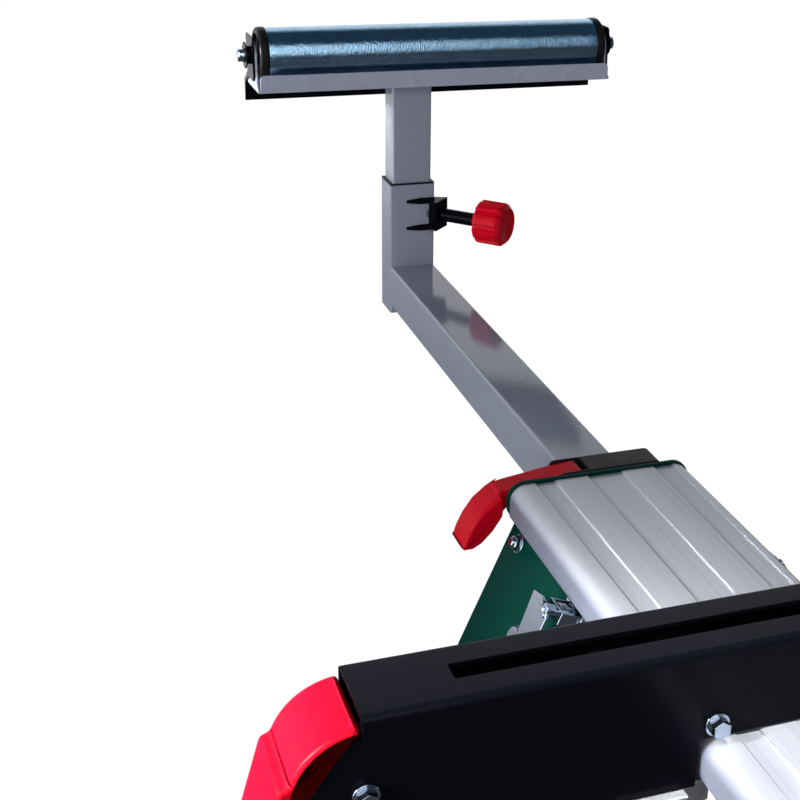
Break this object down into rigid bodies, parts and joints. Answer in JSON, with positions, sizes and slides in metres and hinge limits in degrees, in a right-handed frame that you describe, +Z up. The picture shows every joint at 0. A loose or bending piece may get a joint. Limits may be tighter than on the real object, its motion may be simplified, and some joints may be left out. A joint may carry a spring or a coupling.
{
  "type": "mitre saw stand",
  "caption": "Folding stand for a mitre saw: extruded beam on splayed folding legs, clamp-on slotted saw mounts, and pull-out arms that carry height-set support rollers with fold-up end stops.",
  "frame": {"origin": "on the floor under the middle of the beam", "axes": "+X along the beam to the right-hand end, -Y towards the operator, +Z up"},
  "size_m": [2.3472, 0.7716, 1.0386],
  "materials": {
    "anodised": "satin",
    "green_paint": "gloss",
    "grey_paint": "gloss",
    "trough_paint": "gloss",
    "black_nylon": "satin",
    "black_paint": "gloss",
    "rubber": "matte",
    "zinc": "satin",
    "roller_zinc": "satin",
    "jaw_metal": "satin",
    "red_plastic": "gloss"
  },
  "bodies": {
    "base": {"beam": "anodised", "end_bracket_l": "green_paint", "end_bracket_r": "green_paint", "clamp_block_l": "black_nylon", "clamp_block_r": "black_nylon", "end_fixings": "zinc", "leg_bolts": "zinc", "leg_glides": "black_nylon", "latch_straps": "zinc", "latch_springs": "zinc"},
    "arm_l_body": {"arm_l": "grey_paint", "sleeve_l": "grey_paint", "screw_yoke_l": "black_paint", "arm_liners_l": "black_nylon"},
    "post_l_body": {"post_l": "grey_paint", "roller_trough_l": "trough_paint", "axle_l": "zinc"},
    "roller_l_body": {"roller_l": "roller_zinc", "roller_caps_l": "black_nylon"},
    "stop_l_body": {"end_stop_l": "black_paint"},
    "knob_l_body": {"knob_l": "red_plastic", "clamp_screw_l": "black_paint"},
    "lever_l_body": {"arm_lever_l": "red_plastic"},
    "mount_l_body": {"mount_rail_l": "black_paint", "mount_pads_l": "rubber", "rear_jaw_l": "jaw_metal", "mount_bolts_l": "zinc"},
    "handle_l_body": {"mount_handle_l": "red_plastic"},
    "jaw_l_body": {"front_jaw_l": "jaw_metal"},
    "arm_r_body": {"arm_r": "grey_paint", "sleeve_r": "grey_paint", "screw_yoke_r": "black_paint", "arm_liners_r": "black_nylon"},
    "post_r_body": {"post_r": "grey_paint", "roller_trough_r": "trough_paint", "axle_r": "zinc"},
    "roller_r_body": {"roller_r": "roller_zinc", "roller_caps_r": "black_nylon"},
    "stop_r_body": {"end_stop_r": "black_paint"},
    "knob_r_body": {"knob_r": "red_plastic", "clamp_screw_r": "black_paint"},
    "lever_r_body": {"arm_lever_r": "red_plastic"},
    "mount_r_body": {"mount_rail_r": "black_paint", "mount_pads_r": "rubber", "rear_jaw_r": "jaw_metal", "mount_bolts_r": "zinc"},
    "handle_r_body": {"mount_handle_r": "red_plastic"},
    "jaw_r_body": {"front_jaw_r": "jaw_metal"},
    "leg_lf_body": {"leg_lf": "green_paint", "foot_lf": "rubber"},
    "latch_lf_body": {"latch_lf": "zinc"},
    "leg_lr_body": {"leg_lr": "green_paint", "foot_lr": "rubber"},
    "latch_lr_body": {"latch_lr": "zinc"},
    "leg_rf_body": {"leg_rf": "green_paint", "foot_rf": "rubber"},
    "latch_rf_body": {"latch_rf": "zinc"},
    "leg_rr_body": {"leg_rr": "green_paint", "foot_rr": "rubber"},
    "latch_rr_body": {"latch_rr": "zinc"}
  },
  "joints": [
    {"name": "arm_l_slide", "type": "slide", "parent": "base", "child": "arm_l_body", "axis": [-1, 0, 0], "range_m": [-0.466, 0.03]},
    {"name": "post_l_slide", "type": "slide", "parent": "arm_l_body", "child": "post_l_body", "axis": [0, 0, 1], "range_m": [-0.092, 0.028]},
    {"name": "roller_l_spin", "type": "hinge", "parent": "post_l_body", "child": "roller_l_body", "pos_m": [-1.1416, 0.0255, 1.0128], "axis": [0, 1, 0], "continuous": true},
    {"name": "stop_l_swing", "type": "hinge", "parent": "post_l_body", "child": "stop_l_body", "pos_m": [-1.1416, 0.0255, 1.0128], "axis": [0, 1, 0], "range_deg": [0, 90]},
    {"name": "knob_l_turn", "type": "hinge", "parent": "arm_l_body", "child": "knob_l_body", "pos_m": [-1.124, 0.0233, 0.8488], "axis": [0.7071, 0.7071, 0], "range_deg": [0, 360]},
    {"name": "lever_l_swing", "type": "hinge", "parent": "base", "child": "lever_l_body", "pos_m": [-0.64025, -0.017, 0.7976], "axis": [-1, 0, 0], "range_deg": [0, 70]},
    {"name": "mount_l_slide", "type": "slide", "parent": "base", "child": "mount_l_body", "axis": [1, 0, 0], "range_m": [-0.1, 0.3]},
    {"name": "handle_l_swing", "type": "hinge", "parent": "mount_l_body", "child": "handle_l_body", "pos_m": [-0.3473, -0.2594, 0.811], "axis": [1, 0, 0], "range_deg": [0, 65]},
    {"name": "jaw_l_slide", "type": "slide", "parent": "mount_l_body", "child": "jaw_l_body", "axis": [0, -1, 0], "range_m": [0, 0.012]},
    {"name": "arm_r_slide", "type": "slide", "parent": "base", "child": "arm_r_body", "axis": [1, 0, 0], "range_m": [-0.466, 0.03]},
    {"name": "post_r_slide", "type": "slide", "parent": "arm_r_body", "child": "post_r_body", "axis": [0, 0, 1], "range_m": [-0.092, 0.028]},
    {"name": "roller_r_spin", "type": "hinge", "parent": "post_r_body", "child": "roller_r_body", "pos_m": [1.1416, 0.0255, 1.0128], "axis": [0, 1, 0], "continuous": true},
    {"name": "stop_r_swing", "type": "hinge", "parent": "post_r_body", "child": "stop_r_body", "pos_m": [1.1416, 0.0255, 1.0128], "axis": [0, -1, 0], "range_deg": [0, 90]},
    {"name": "knob_r_turn", "type": "hinge", "parent": "arm_r_body", "child": "knob_r_body", "pos_m": [1.124, 0.0233, 0.8488], "axis": [-0.7071, 0.7071, 0], "range_deg": [0, 360]},
    {"name": "lever_r_swing", "type": "hinge", "parent": "base", "child": "lever_r_body", "pos_m": [0.64025, -0.017, 0.7976], "axis": [-1, 0, 0], "range_deg": [0, 70]},
    {"name": "mount_r_slide", "type": "slide", "parent": "base", "child": "mount_r_body", "axis": [-1, 0, 0], "range_m": [-0.1, 0.3]},
    {"name": "handle_r_swing", "type": "hinge", "parent": "mount_r_body", "child": "handle_r_body", "pos_m": [0.3473, -0.2594, 0.811], "axis": [1, 0, 0], "range_deg": [0, 65]},
    {"name": "jaw_r_slide", "type": "slide", "parent": "mount_r_body", "child": "jaw_r_body", "axis": [0, -1, 0], "range_m": [0, 0.012]},
    {"name": "leg_lf_fold", "type": "hinge", "parent": "base", "child": "leg_lf_body", "pos_m": [-0.558, -0.0903, 0.7168], "axis": [0, -0.9188, 0.3947], "range_deg": [0, 90]},
    {"name": "latch_lf_pull", "type": "slide", "parent": "base", "child": "latch_lf_body", "axis": [0, -0.9188, 0.3947], "range_m": [-0.0037, 0.002]},
    {"name": "leg_lr_fold", "type": "hinge", "parent": "base", "child": "leg_lr_body", "pos_m": [-0.558, 0.0833, 0.7168], "axis": [0, -0.9188, -0.3947], "range_deg": [0, 90]},
    {"name": "latch_lr_pull", "type": "slide", "parent": "base", "child": "latch_lr_body", "axis": [0, 0.9188, 0.3947], "range_m": [-0.0037, 0.002]},
    {"name": "leg_rf_fold", "type": "hinge", "parent": "base", "child": "leg_rf_body", "pos_m": [0.558, -0.0903, 0.7168], "axis": [0, 0.9188, -0.3947], "range_deg": [0, 90]},
    {"name": "latch_rf_pull", "type": "slide", "parent": "base", "child": "latch_rf_body", "axis": [0, -0.9188, 0.3947], "range_m": [-0.0037, 0.002]},
    {"name": "leg_rr_fold", "type": "hinge", "parent": "base", "child": "leg_rr_body", "pos_m": [0.558, 0.0833, 0.7168], "axis": [0, 0.9188, 0.3947], "range_deg": [0, 90]},
    {"name": "latch_rr_pull", "type": "slide", "parent": "base", "child": "latch_rr_body", "axis": [0, 0.9188, 0.3947], "range_m": [-0.0037, 0.002]}
  ],
  "couplings": [
    {"joint": "jaw_l_slide", "follows": "handle_l_swing", "m_per_rad": 0.010578},
    {"joint": "jaw_r_slide", "follows": "handle_r_swing", "m_per_rad": 0.010578}
  ]
}
